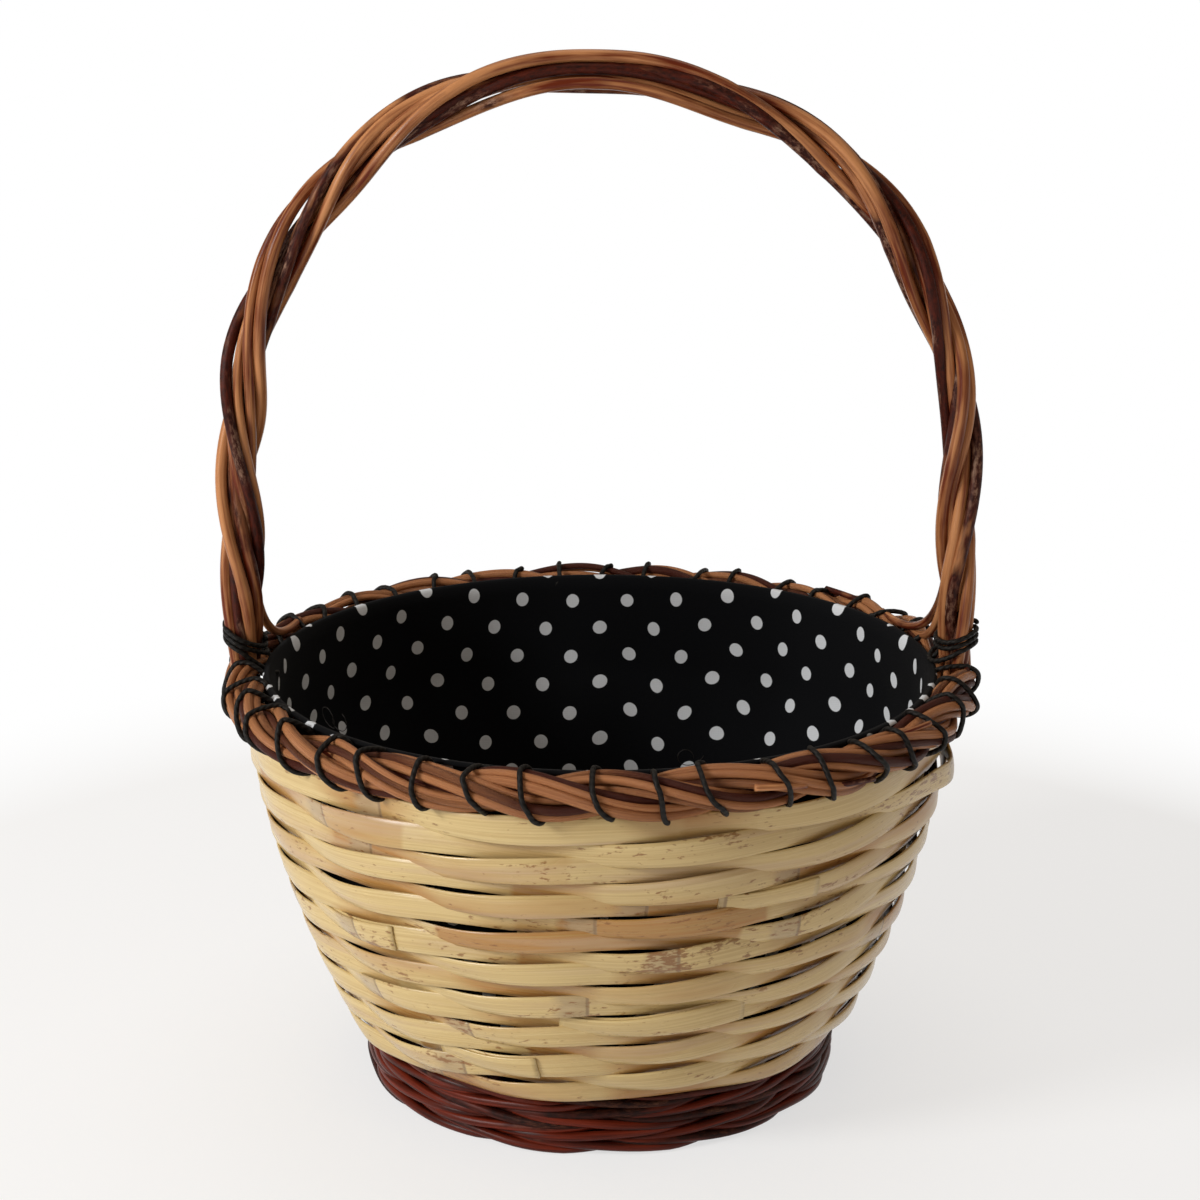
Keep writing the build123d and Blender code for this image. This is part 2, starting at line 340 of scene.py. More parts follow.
def add_node(tree, kind, inputs=None, **settings):
    """Adds a node, sets its properties, and sets or links its sockets."""
    node = tree.nodes.new("ShaderNode" + kind)
    for name, value in settings.items():
        setattr(node, name, value)
    set_sockets(tree, node, inputs or {})
    return node


def new_material(name):
    """An empty node material with its surface shader: the tree and the shader node."""
    material = bpy.data.materials.new(name)
    material.use_nodes = True
    return material, material.node_tree, material.node_tree.nodes["Principled BSDF"]


def lay_vector(tree, along, across, seed_step):
    """UV in metres stretched to a pattern: along and across are repeats per metre."""
    place = add_node(tree, "UVMap", uv_map="lay")
    split = add_node(tree, "SeparateXYZ", {0: place.outputs[0]})
    seed = add_node(tree, "Attribute", attribute_name="seed")
    u = add_node(tree, "Math", {0: split.outputs[0], 1: along}, operation="MULTIPLY")
    v = add_node(tree, "Math", {0: split.outputs[1], 1: across}, operation="MULTIPLY")
    w = add_node(
        tree, "Math", {0: seed.outputs["Fac"], 1: seed_step}, operation="MULTIPLY"
    )
    joined = add_node(
        tree, "CombineXYZ", {0: u.outputs[0], 1: v.outputs[0], 2: w.outputs[0]}
    )
    return joined.outputs[0]


def willow(name, pale, warm, bark, deep, flake, gloss):
    """Willow rods: peeled ones satin and streaked, others in their bark, which flakes to grey.

    tone 0 is a peeled rod and 1 one in bark. Streaks are 1.6 mm apart round the rod and run with
    it, and bark patches are about 15 mm long.
    """
    material, tree, shader = new_material(name)
    tone = add_node(tree, "Attribute", attribute_name="tone")
    streak = add_node(
        tree, "TexNoise", {"Vector": lay_vector(tree, 28, 620, 17.3), "Scale": 1, "Detail": 4}
    )
    patch = add_node(
        tree, "TexNoise", {"Vector": lay_vector(tree, 34, 110, 31.7), "Scale": 1, "Detail": 5}
    )
    fleck = add_node(
        tree, "TexNoise",
        {"Vector": lay_vector(tree, 260, 620, 5.1), "Scale": 1, "Detail": 6, "Roughness": 0.7},
    )
    stain = add_node(
        tree, "TexNoise", {"Vector": lay_vector(tree, 22, 60, 11.9), "Scale": 1, "Detail": 3}
    )
    mottle = add_node(
        tree, "Math", {0: streak.outputs[0], 1: stain.outputs[0]}, operation="ADD"
    )
    ripe = add_node(tree, "MapRange", {0: mottle.outputs[0], 1: 0.8, 2: 1.16})
    peeled = add_node(
        tree, "Mix", {0: ripe.outputs[0], 6: srgb(warm), 7: srgb(pale)}, data_type="RGBA"
    )
    skin = add_node(
        tree, "MapRange", {0: fleck.outputs[0], 1: 0.35, 2: 0.68}
    )
    barked = add_node(
        tree, "Mix", {0: skin.outputs[0], 6: srgb(deep), 7: srgb(bark)}, data_type="RGBA"
    )
    worn = add_node(tree, "MapRange", {0: fleck.outputs[0], 1: 0.46, 2: 0.66, 4: 0.8})
    where = add_node(tree, "MapRange", {0: patch.outputs[0], 1: 0.53, 2: 0.64})
    grey = add_node(
        tree, "Math", {0: worn.outputs[0], 1: where.outputs[0]}, operation="MULTIPLY"
    )
    flaked = add_node(
        tree, "Mix", {0: grey.outputs[0], 6: barked.outputs[2], 7: srgb(flake)},
        data_type="RGBA",
    )
    sway = add_node(
        tree, "Math", {0: patch.outputs[0], 1: 1.1, 2: -0.55}, operation="MULTIPLY_ADD"
    )
    lean = add_node(tree, "Math", {0: tone.outputs["Fac"], 1: sway.outputs[0]}, operation="ADD")
    share = add_node(tree, "MapRange", {0: lean.outputs[0], 1: 0.42, 2: 0.62})
    colour = add_node(
        tree, "Mix", {0: share.outputs[0], 6: peeled.outputs[2], 7: flaked.outputs[2]},
        data_type="RGBA",
    )
    tree.links.new(colour.outputs[2], shader.inputs["Base Color"])
    rough = add_node(
        tree, "MapRange", {0: share.outputs[0], 3: gloss, 4: gloss + 0.22}
    )
    tree.links.new(rough.outputs[0], shader.inputs["Roughness"])
    shader.inputs["IOR"].default_value = 1.5
    shader.inputs["Specular IOR Level"].default_value = 0.17
    relief = add_node(
        tree, "Math",
        {0: fleck.outputs[0], 1: share.outputs[0], 2: streak.outputs[0]}, operation="MULTIPLY_ADD",
    )
    bump = add_node(
        tree, "Bump", {"Strength": 0.55, "Distance": 0.35 * MM, "Height": relief.outputs[0]}
    )
    tree.links.new(bump.outputs[0], shader.inputs["Normal"])
    return material


def split_cane(name, skin):
    """Split giant reed: a smooth waxy skin in straw, with nodes, fibres and brown weather marks.

    tone 0 is a straw strip and 1 a tan one; the wall also raises tone where a strip passes behind an
    upright, as painted shade.
    A node comes every 310 mm of a strip, with a dark ring
    and a pinkish-grey patch 9 mm long; fibres are 0.6 mm apart and run with the strip.
    """
    material, tree, shader = new_material(name)
    tone = add_node(tree, "Attribute", attribute_name="tone")
    seed = add_node(tree, "Attribute", attribute_name="seed")
    place = add_node(tree, "UVMap", uv_map="lay")
    split = add_node(tree, "SeparateXYZ", {0: place.outputs[0]})
    fibre = add_node(
        tree, "TexNoise", {"Vector": lay_vector(tree, 12, 1600, 9.1), "Scale": 1, "Detail": 3}
    )
    cloud = add_node(
        tree, "TexNoise", {"Vector": lay_vector(tree, 14, 90, 23.9), "Scale": 1, "Detail": 3}
    )
    warm = add_node(
        tree, "Math", {0: cloud.outputs[0], 1: 1.7, 2: -0.85}, operation="MULTIPLY_ADD"
    )
    lean = add_node(tree, "Math", {0: tone.outputs["Fac"], 1: warm.outputs[0]}, operation="ADD")
    # the skin mixes towards tan brown for tan strips and random warm clouds, and for painted shade where
    # a strip passes behind an upright
    share = add_node(tree, "MapRange", {0: lean.outputs[0], 1: 0.3, 2: 1.0})
    base = add_node(
        tree, "Mix", {0: share.outputs[0], 6: skin, 7: srgb("#B27F44")}, data_type="RGBA"
    )
    haze = add_node(
        tree, "TexNoise", {"Vector": lay_vector(tree, 9, 150, 57.1), "Scale": 1, "Detail": 2}
    )
    blush = add_node(tree, "MapRange", {0: haze.outputs[0], 1: 0.54, 2: 0.68, 4: 0.55})
    base = add_node(
        tree, "Mix", {0: blush.outputs[0], 6: base.outputs[2], 7: srgb("#C6AA8E")},
        data_type="RGBA",
    )
    grain = add_node(tree, "MapRange", {0: fibre.outputs[0], 1: 0.35, 2: 0.7, 3: 0.0, 4: 0.6})
    fibred = add_node(
        tree, "Mix", {0: grain.outputs[0], 6: base.outputs[2], 7: srgb("#BB9C62")},
        data_type="RGBA",
    )
    # nodes of the reed, one every 310 mm
    cycle = add_node(
        tree, "Math", {0: split.outputs[0], 1: 1 / 0.31, 2: 0.0}, operation="MULTIPLY_ADD"
    )
    shifted = add_node(
        tree, "Math", {0: seed.outputs["Fac"], 1: 7.31, 2: cycle.outputs[0]},
        operation="MULTIPLY_ADD",
    )
    part = add_node(tree, "Math", {0: shifted.outputs[0]}, operation="FRACT")
    off = add_node(tree, "Math", {0: part.outputs[0], 1: 0.5}, operation="SUBTRACT")
    gap = add_node(tree, "Math", {0: off.outputs[0]}, operation="ABSOLUTE")
    ragged = add_node(
        tree, "TexNoise", {"Vector": lay_vector(tree, 120, 420, 3.7), "Scale": 1, "Detail": 4}
    )
    edge = add_node(
        tree, "Math", {0: ragged.outputs[0], 1: 0.03, 2: off.outputs[0]},
        operation="MULTIPLY_ADD",
    )
    begins = add_node(tree, "MapRange", {0: edge.outputs[0], 1: -0.031, 2: -0.016, 4: 0.7})
    ends = add_node(tree, "MapRange", {0: off.outputs[0], 1: 0.003, 2: 0.0015})
    node_patch = add_node(
        tree, "Math", {0: begins.outputs[0], 1: ends.outputs[0]}, operation="MULTIPLY"
    )
    scar = add_node(
        tree, "Mix", {0: ragged.outputs[0], 6: srgb("#98805C"), 7: srgb("#C6B08C")},
        data_type="RGBA",
    )
    patched = add_node(
        tree, "Mix", {0: node_patch.outputs[0], 6: fibred.outputs[2], 7: scar.outputs[2]},
        data_type="RGBA",
    )
    ring = add_node(tree, "MapRange", {0: gap.outputs[0], 1: 0.003, 2: 0.001, 4: 0.55})
    ringed = add_node(
        tree, "Mix", {0: ring.outputs[0], 6: patched.outputs[2], 7: srgb("#7A5E42")},
        data_type="RGBA",
    )
    # brown weather marks, thick round the nodes and scarce elsewhere
    mark = add_node(
        tree, "TexNoise",
        {"Vector": lay_vector(tree, 190, 520, 13.3), "Scale": 1, "Detail": 5, "Roughness": 0.62},
    )
    zone = add_node(
        tree, "TexNoise", {"Vector": lay_vector(tree, 16, 60, 41.9), "Scale": 1, "Detail": 2}
    )
    near = add_node(tree, "MapRange", {0: gap.outputs[0], 1: 0.13, 2: 0.01, 3: 0.0, 4: 0.085})
    open_up = add_node(tree, "MapRange", {0: zone.outputs[0], 1: 0.5, 2: 0.68, 3: 0.0, 4: 0.15})
    reach = add_node(tree, "Math", {0: near.outputs[0], 1: open_up.outputs[0]}, operation="ADD")
    level = add_node(tree, "Math", {0: mark.outputs[0], 1: reach.outputs[0]}, operation="ADD")
    spots = add_node(tree, "MapRange", {0: level.outputs[0], 1: 0.665, 2: 0.735, 4: 0.8})
    marked = add_node(
        tree, "Mix", {0: spots.outputs[0], 6: ringed.outputs[2], 7: srgb("#8A5A2C")},
        data_type="RGBA",
    )
    tree.links.new(marked.outputs[2], shader.inputs["Base Color"])
    rough = add_node(tree, "MapRange", {0: cloud.outputs[0], 1: 0.3, 2: 0.7, 3: 0.2, 4: 0.36})
    tree.links.new(rough.outputs[0], shader.inputs["Roughness"])
    shader.inputs["IOR"].default_value = 1.5
    lump = add_node(
        tree, "Math", {0: ring.outputs[0], 1: -1.2, 2: fibre.outputs[0]},
        operation="MULTIPLY_ADD",
    )
    bump = add_node(
        tree, "Bump", {"Strength": 0.4, "Distance": 0.25 * MM, "Height": lump.outputs[0]}
    )
    tree.links.new(bump.outputs[0], shader.inputs["Normal"])
    return material


def dotted_cotton(name, cloth, dot, pitch):
    """Plain-woven cotton, dyed black and printed with dots on a square lattice turned 45 degrees.

    The weave is drawn at 0.7 mm, coarser than its real 0.3 mm, so that it shows at all.
    """
    material, tree, shader = new_material(name)
    place = add_node(tree, "UVMap", uv_map="lay")
    turned = add_node(
        tree, "Mapping",
        {"Vector": place.outputs[0], "Rotation": (0, 0, radians(45)), "Scale": (1 / pitch,) * 3},
        vector_type="POINT",
    )
    cell = add_node(tree, "VectorMath", {0: turned.outputs[0]}, operation="FRACTION")
    centred = add_node(
        tree, "VectorMath", {0: cell.outputs[0], 1: (0.5, 0.5, 0)}, operation="SUBTRACT"
    )
    flat = add_node(
        tree, "VectorMath", {0: centred.outputs[0], 1: (1, 1, 0)}, operation="MULTIPLY"
    )
    away = add_node(tree, "VectorMath", {0: flat.outputs[0]}, operation="LENGTH")
    radius = dot / 2 / pitch
    inside = add_node(
        tree, "MapRange", {0: away.outputs["Value"], 1: radius * 1.04, 2: radius * 0.96}
    )
    warp = add_node(
        tree, "TexWave",
        {"Vector": place.outputs[0], "Scale": 1 / (0.7 * MM) / TAU * 1.6, "Distortion": 1.5, "Detail": 1},
        bands_direction="X",
    )
    weft = add_node(
        tree, "TexWave",
        {"Vector": place.outputs[0], "Scale": 1 / (0.7 * MM) / TAU * 1.6, "Distortion": 1.5, "Detail": 1},
        bands_direction="Y",
    )
    weave = add_node(
        tree, "Math", {0: warp.outputs["Fac"], 1: weft.outputs["Fac"]}, operation="ADD"
    )
    print_tone = add_node(tree, "MapRange", {0: weave.outputs[0], 2: 2.0, 3: 0.86, 4: 1.0})
    pale = add_node(
        tree, "Mix", {0: print_tone.outputs[0], 6: srgb("#9A9EA3"), 7: srgb("#DCE0E4")},
        data_type="RGBA",
    )
    colour = add_node(
        tree, "Mix", {0: inside.outputs[0], 6: cloth, 7: pale.outputs[2]}, data_type="RGBA"
    )
    tree.links.new(colour.outputs[2], shader.inputs["Base Color"])
    shader.inputs["Roughness"].default_value = 0.9
    shader.inputs["Specular IOR Level"].default_value = 0.12
    shader.inputs["Sheen Weight"].default_value = 0.02
    bump = add_node(
        tree, "Bump", {"Strength": 0.25, "Distance": 0.1 * MM, "Height": weave.outputs[0]}
    )
    tree.links.new(bump.outputs[0], shader.inputs["Normal"])
    return material


def waxed_cord(name):
    """Black twisted linen cord with a coat of wax: near black, with a soft gloss on each ply."""
    material, tree, shader = new_material(name)
    ply = add_node(
        tree, "TexWave",
        {"Vector": lay_vector(tree, 0.62 / MM, 0.62 / MM, 1.0), "Scale": 0.35, "Distortion": 0.4},
        bands_direction="DIAGONAL",
    )
    colour = add_node(
        tree, "Mix", {0: ply.outputs["Fac"], 6: srgb("#0A0908"), 7: srgb("#1E1B18")},
        data_type="RGBA",
    )
    tree.links.new(colour.outputs[2], shader.inputs["Base Color"])
    shader.inputs["Roughness"].default_value = 0.55
    shader.inputs["Specular IOR Level"].default_value = 0.2
    bump = add_node(
        tree, "Bump", {"Strength": 0.7, "Distance": 0.25 * MM, "Height": ply.outputs["Fac"]}
    )
    tree.links.new(bump.outputs[0], shader.inputs["Normal"])
    return material


def border_willow():
    return willow("willow_border", "#D49664", "#5E1E0C", "#581C0A", "#1E0703", "#A28068", 0.27)


def handle_willow():
    return willow("willow_handle", "#C28658", "#642610", "#561C0B", "#200904", "#A0826C", 0.28)


def stake_willow():
    return willow("willow_stake", "#B09866", "#8E7446", "#80663C", "#5A4426", "#9A8460", 0.5)


def foot_willow():
    return willow("willow_foot", "#6E2614", "#360F07", "#3E1308", "#150502", "#644230", 0.36)


# ---- wall ----
class BASKET_OT_cane(bpy.types.Operator):
    """Weaves the rows of split cane, over one upright and under the next"""

    bl_idname = "basket.cane"
    bl_label = "Cane wall"

    # tan strips: row, first and last degree round the basket, depth of colour
    tan = (
        (10, 243, 293, 1.2), (11, 264, 297, 1.25), (14, 224, 266, 0.55), (15, 198, 240, 0.7),
        (4, 50, 100, 1.1), (7, 330, 360, 0.9), (13, 120, 165, 1.1), (12, 296, 350, 0.45),
    )
    # where the weave was pushed about: row, degree, mm up, mm out, degrees it spreads
    strays = (
        (8, 320, -2.6, 1.5, 7), (9, 323, 2.2, 0.0, 8), (10, 326, 1.4, 0.0, 8),
        (7, 314, -1.2, 0.0, 8), (15, 342, -2.2, 4.2, 7), (14, 346, -1.5, 0.5, 9),
        (1, 249, 1.8, 0.0, 6), (0, 247, -1.0, 0.0, 8), (14, 236, -0.9, 0.8, 12),
        (5, 226, 1.3, 0.0, 7), (4, 232, -1.1, 0.0, 8), (3, 318, 1.2, 0.0, 7),
        (12, 302, 0.9, 0.0, 6), (6, 120, 1.8, 0.0, 7), (11, 60, -1.6, 1.2, 8),
        (13, 165, 1.4, 0.0, 8),
    )
    # strip ends that lie on the skin: row, first and last degree
    laps = (
        (5, 262, 297.3), (9, 210, 235), (12, 288, 306), (2, 236, 259), (13, 5, 30), (8, 82, 107),
        (3, 108, 131), (11, 108, 136),
    )
    points_round = 322
    crown = 0.42 * MM       # how far the skin stands proud along the middle of a strip
    lap_lift = 1.15 * MM    # how far a strip's end lies above the strip below it
    beaten = 2.4 * MM       # how far the last row is beaten up, and half that the one before
    wide_top = 1.14         # the last row's width, as a share of a strip's

    def strip_profile(self, width, thickness):
        """A flat strip with eased corners and a crowned skin: outer face up, then inner down."""
        across = np.array([-0.5, -0.46, -0.25, 0.0, 0.25, 0.46, 0.5])
        crown = self.crown * (1 - (2 * across) ** 2)
        outer = thickness / 2 * np.array([0.35, 0.9, 1, 1, 1, 0.9, 0.35]) + crown
        inner = -thickness / 2 * np.array([0.35, 0.9, 1, 0.9, 0.35])
        back = np.array([0.5, 0.46, 0.0, -0.46, -0.5])
        x = np.concatenate([outer, inner])
        y = np.concatenate([across, back])
        shape = np.stack([np.tile(x, (len(width), 1)), y[None] * width[:, None]], axis=-1)
        return shape, np.concatenate([y, y[:1]]) * width.mean()

    def strips(self, angle, row, rng):
        """Tone and width round a row of several strips, joined where it passes behind uprights."""
        behind = np.arange(1 - row % 2, UPRIGHTS, 2)
        tone, width = np.zeros_like(angle), np.ones_like(angle)
        joints = np.sort(rng.choice(behind, 3, replace=False))
        for first, last in zip(joints, [*joints[1:], joints[0] + UPRIGHTS]):
            here = (angle / STEP - first) % UPRIGHTS < last - first
            tone = np.where(here, rng.choice([-0.3, -0.05, 0.1, 0.3, 0.5]), tone)
            width = np.where(here, rng.uniform(0.88, 1.1), width)
        for at, first, last, depth in self.tan:
            if at == row:
                edge = np.minimum(angle - radians(first), radians(last) - angle)
                tone = tone + (depth - tone) * np.clip(0.5 + edge / radians(1.5), 0, 1)
        return tone, width

    def execute(self, context):
        wall = context.scene.basket_wall
        rng = np.random.default_rng(11)
        parts = []
        angle = turns_of(self.points_round)
        top = len(CANE_Z) - 1
        # the weave is tighter beside the handle's legs
        tight = np.cos(angle) ** 8
        shared = wave(angle, rng, 2, 5, 0.8 * MM) + 1.5 * MM * np.sin(angle - radians(255))
        for row, z in enumerate(CANE_Z):
            # 1 in front of an upright and -1 behind one, and the same a quarter of a wave on
            way = 1 if row % 2 == 0 else -1
            weave = np.cos(UPRIGHTS / 2 * angle) * way
            passing = np.sin(UPRIGHTS / 2 * angle) * way
            swing = wall.swing * (1 + wave(angle, rng, 2, 9, 0.10)) * (1 - 0.4 * tight)
            # the first and last rows lie straighter
            loose = min(1, 0.35 + 0.25 * min(row, top - row))
            height = z + shared * loose + wave(angle, rng, 1, 7, 0.4 * MM)
            height += rng.uniform(-0.4, 0.4) * MM
            free = loose * (1 - 0.75 * tight) * (1 + wave(angle, rng, 1, 9, 0.22))
            height += wall.slant * passing * free
            # the last rows are beaten up against the border
            height += self.beaten * 0.5 ** (top - row)
            tone, breadth = self.strips(angle, row, rng)
            # painted shade: a strip's tone is raised towards tan brown where it passes behind an upright,
            # most right behind it
            tone = tone + 0.7 * np.clip(-weave, 0, 1) ** 0.8
            if row == top:
                breadth = breadth * self.wide_top
            stand = np.zeros_like(angle)
            for at, where, rise, out_by, spread in self.strays:
                if at == row:
                    near = np.exp(-(((angle - radians(where)) / radians(spread)) ** 2))
                    height += rise * MM * near
                    stand += out_by * MM * near
            # a strip stands well off before an upright and is drawn close behind it
            reach = wall_radius(height, wall) + swing * np.where(weave > 0, weave, 0.62 * weave)
            reach += stand
            lean = wall_tilt(z, wall) - wall.shingle - wall.twist * passing
            lean += wave(angle, rng, 2, 12, radians(2.0))
            out = around(angle, np.cos(lean), -np.sin(lean))
            centres = around(angle, reach, height)
            width = wall.strip_width * breadth * (1 - 0.05 * passing**2)
            width *= 1 + wave(angle, rng, 2, 8, 0.03)
            shape, across = self.strip_profile(width, wall.strip_thickness)
            parts.append(sweep(
                centres, out, shape, closed=True, across=across, tone=tone, seed=rng.uniform(0, 1),
            ))
            for at, first, last in self.laps:
                if at == row:
                    here = (angle > radians(first)) & (angle < radians(last))
                    parts.append(sweep(
                        centres[here] + self.lap_lift * out[here], out[here],
                        0.96 * shape[here], across=across, tone=rng.uniform(-0.4, 0.1),
                        seed=rng.uniform(0, 1),
                    ))
        piece = build_piece("cane_wall", parts, split_cane("split_cane_skin", tuple(wall.cane)))
        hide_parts(*CANE_NODES)
        return {"FINISHED"}


class BASKET_OT_stakes(bpy.types.Operator):
    """Stands the round willow stakes in the wall"""

    bl_idname = "basket.stakes"
    bl_label = "Stakes"

    def execute(self, context):
        wall = context.scene.basket_wall
        rng = np.random.default_rng(5)
        parts = []
        z = np.linspace(stake_low[2], stake_high[2], 48)
        for k in range(UPRIGHTS):
            if k % (UPRIGHTS // 2) == 0:
                continue  # a leg of the bow stands here
            centres, out = upright(STEP * k, z, wall)
            parts.append(sweep(
                centres, out, ring_of(12, wall.stake / 2),
                scale=rod_girth(run_length(centres), rng, 0.1),
                tone=rng.uniform(0, 0.5), seed=rng.uniform(),
            ))
        piece = build_piece("stakes", parts, stake_willow())
        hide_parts(*STAKE_NODES)
        return {"FINISHED"}


# ---- foot and base ----
class BASKET_OT_foot(bpy.types.Operator):
    """Wales rods round the foot, three at a time: each before two uprights and behind one"""

    bl_idname = "basket.foot"
    bl_label = "Waled foot"

    courses = 5
    packed = 8             # rods behind the wale
    swing = 4.3 * MM       # how far a rod goes out and in
    climb = 2.5 * MM       # how far it climbs and drops
    # the first course's rods stay this far off the floor, and the last's below the foot's top
    inset_low, inset_high = 2.0 * MM, 2.6 * MM

    def execute(self, context):
        """Lays each course's three rods as one closed run of three turns.

        Out of line, a rod follows a short cosine series that is inside one upright and outside the
        next two; in height it climbs steadily while outside and drops back behind the upright,
        which is the sine series of a sawtooth. Every other course climbs the other way.
        """
        wall = context.scene.basket_wall
        rods = context.scene.basket_rods
        rng = np.random.default_rng(23)
        parts = []
        radius = rods.foot_rod / 2
        lowest = radius + 0.05 * MM
        turn = turns_of(460)
        angle = 3 * turn
        first, last = radius + self.inset_low, FOOT_HIGH - radius - self.inset_high
        for course in range(self.courses):
            middle = first + (last - first) * course / (self.courses - 1)
            pass_by = UPRIGHTS * turn + TAU * course / 3 + wave(turn, rng, 2, 16, 0.12)
            side = 1 / 3 - 0.98 * np.cos(pass_by) - 0.35 * np.cos(2 * pass_by)
            rise = np.sin(pass_by) + 0.4 * np.sin(2 * pass_by) + 0.17 * np.sin(3 * pass_by)
            height = middle + self.climb * rise * (-1 if course % 2 else 1)
            height = np.maximum(height + wave(turn, rng, 4, 30, 0.55 * MM), lowest)
            reach = wall.foot_line + self.swing * side + wave(turn, rng, 4, 30, 0.8 * MM)
            tone = 0.42 + wave(turn, rng, 1, 7, 0.5)
            parts.append(hoop(
                angle, reach, height, 10, radius, tone=tone, scale=1 + wave(turn, rng, 1, 30, 0.09),
                seed=rng.uniform(),
            ))
        # rods packed in behind, which close the gaps
        ring = turns_of(150)
        for high in np.linspace(radius + 0.1 * MM, FOOT_HIGH - radius, self.packed):
            reach = wall.foot_line - 1 * MM + wave(ring, rng, 3, 12, 0.9 * MM)
            height = np.maximum(high + wave(ring, rng, 2, 9, 0.7 * MM), lowest)
            parts.append(hoop(
                ring, reach, height, 8, radius, tone=rng.uniform(0.6, 1.1), seed=rng.uniform(),
            ))
        piece = build_piece("foot_wale", parts, foot_willow())
        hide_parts(*FOOT_NODES)
        return {"FINISHED"}


class BASKET_OT_base(bpy.types.Operator):
    """Crosses the base sticks and weaves the rounds on them"""

    bl_idname = "basket.base"
    bl_label = "Woven base"

    lane_width = 4.7 * MM      # from one stick of a bundle to the next
    bundle = 10 * MM           # how far from the middle a bundle runs parallel
    bundle_rise = 2.4 * MM     # one bundle lies this far below the middle and the other above
    round_pitch = 4.3 * MM
    round_rod = 1.7 * MM       # a round's radius
    round_swing = 3.6 * MM     # how far a round goes over and under the sticks

    def execute(self, context):
        rng = np.random.default_rng(31)
        stick_low, stick_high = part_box("base_stick_lower_2")
        upper_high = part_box("base_stick_upper_2")[1]
        stick = (stick_high[1] - stick_low[1]) / 2
        level = (stick_low[2] + upper_high[2]) / 2
        reach = stick_high[0] - 4 * MM
        parts = []
        t = np.linspace(-1, 1, 61)
        bend = np.clip((np.abs(t) * reach - self.bundle) / (reach - self.bundle), 0, 1)
        up = np.tile([0.0, 0.0, 1.0], (len(t), 1))
        for way, middle, lanes in ((-1, 0, (-1, 0, 1)), (1, 3.5, (-1.5, -0.5, 0.5, 1.5))):
            turn = STEP * middle
            for lane in lanes:
                along = t * reach * (1 - bend * (1 - cos(STEP * lane)))
                spread = lane * self.lane_width * (1 - bend)
                spread += lane * bend * reach * sin(STEP) * np.abs(t)
                centres = np.column_stack([
                    along * np.cos(turn) - spread * np.sin(turn),
                    along * np.sin(turn) + spread * np.cos(turn),
                    level + way * self.bundle_rise * (1 - bend),
                ])
                parts.append(sweep(
                    centres, up, ring_of(10, stick), tone=rng.uniform(0.3, 1), seed=rng.uniform(),
                ))
        angle = turns_of(144)
        first, last = self.bundle + 14 * MM, reach - 6 * MM
        for k, radius in enumerate(np.arange(first, last, self.round_pitch)):
            over = np.cos(UPRIGHTS / 2 * angle) * (1 if k % 2 else -1)
            radius = radius + wave(angle, rng, 2, 6, 0.3 * MM)
            z = level + self.round_swing * over + wave(angle, rng, 2, 6, 0.2 * MM)
            parts.append(hoop(
                angle, radius, z, 8, self.round_rod, tone=rng.uniform(0.1, 1), seed=rng.uniform(),
            ))
        piece = build_piece("woven_base", parts, foot_willow())
        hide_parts(*BASE_NODES)
        return {"FINISHED"}


# ---- border ----
class BorderLay:
    """Where each rod of the border lies: three strands of five rods, laid up like a rope.

    A rod's offset from the border's middle is its strand's, which turns with the angle round the
    rim, plus its own within the strand, which hardly turns, so the rods lie nearly along the rim
    and dive under one another. Smooth wobbles loosen both.
    """

    strands, mates = 3, 5
    strand_offset = 5.0 * MM
    nearness = 1.62         # a rod's offset within its strand, in rod radii

    def __init__(self, rods):
        self.radius = rods.border_rod / 2
        self.turns = rods.border_turns

    def at(self, angle):
        """Offsets outward and up of every rod at the given angles, and their radii."""
        rng = np.random.default_rng(47)
        dip, sway = wave(angle, rng, 2, 6, 0.7 * MM), wave(angle, rng, 2, 6, 0.6 * MM)
        outward, upward, girths = [], [], []
        for strand in range(self.strands):
            lag = TAU * strand / self.strands + wave(angle, rng, 1, 9, radians(13))
            swell = self.strand_offset + wave(angle, rng, 2, 14, 0.8 * MM)
            for mate in range(self.mates):
                turn = lag - self.turns * angle
                nest = TAU * mate / self.mates + strand - 2 * angle
                nest = nest + wave(angle, rng, 1, 14, radians(24))
                near = self.nearness * self.radius + wave(angle, rng, 2, 18, 0.5 * MM)
                outward.append(sway + swell * np.cos(turn) + near * np.cos(nest))
                upward.append(dip + swell * np.sin(turn) + near * np.sin(nest))
                slim = rng.uniform(0.8, 1.15) * (1 + wave(angle, rng, 1, 16, 0.08))
                girths.append(self.radius * slim)
        return np.array(outward), np.array(upward), np.array(girths)


